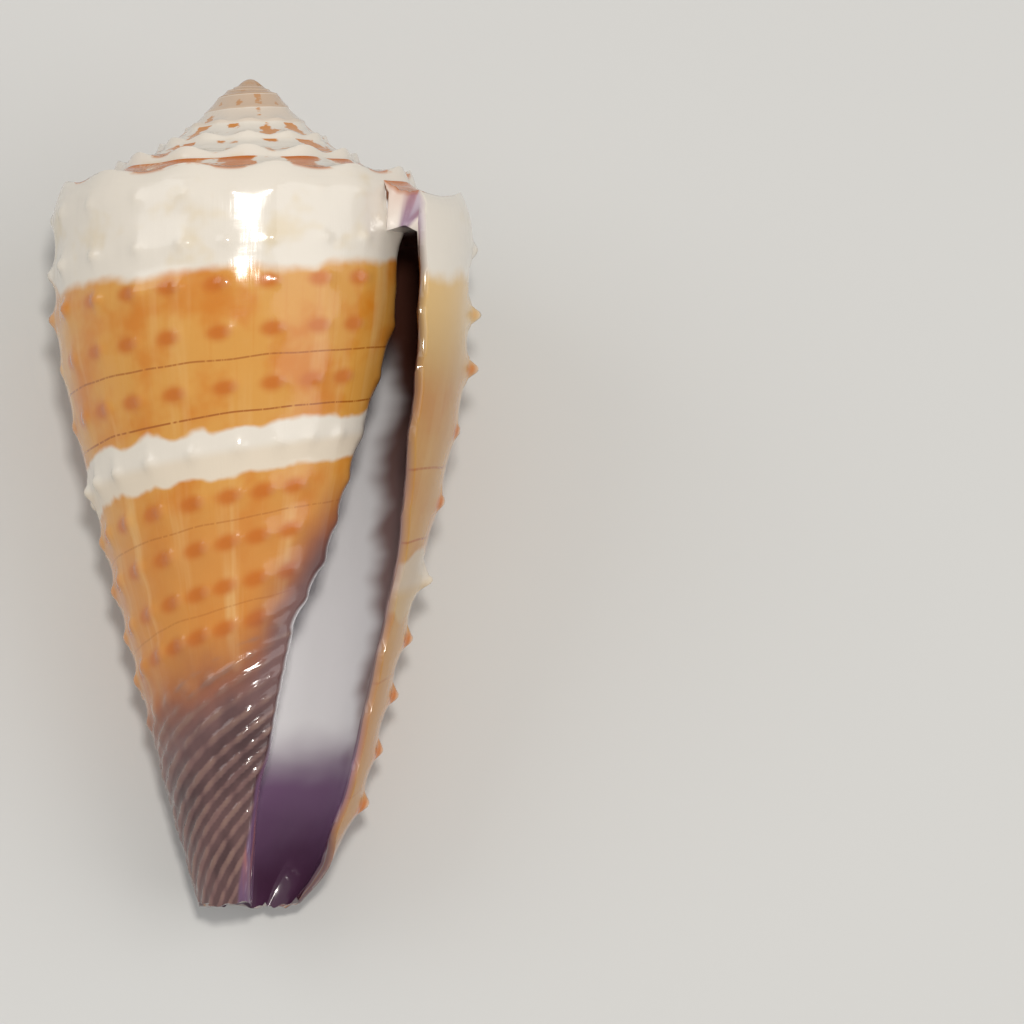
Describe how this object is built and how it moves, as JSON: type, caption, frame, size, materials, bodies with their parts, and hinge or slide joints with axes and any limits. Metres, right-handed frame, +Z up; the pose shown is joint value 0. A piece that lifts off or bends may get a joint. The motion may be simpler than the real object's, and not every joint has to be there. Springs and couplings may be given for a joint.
{
  "type": "cone shell",
  "caption": "small sea snail shell: a knobbed spire on a straight-sided body with rows of grains, lying with its slit aperture up",
  "frame": {"origin": "centre of the shell's footprint, on the surface it lies on", "axes": "+Y along the shell towards the apex, +Z up out of the aperture side, +X towards the outer lip"},
  "size_m": [0.0168, 0.0316, 0.0158],
  "materials": {
    "shell": "glossy porcelain shell: white shoulder, orange body with rust spots and a white band, violet-brown base and interior"
  },
  "bodies": {
    "root": {"shell": "shell"}
  },
  "joints": []
}
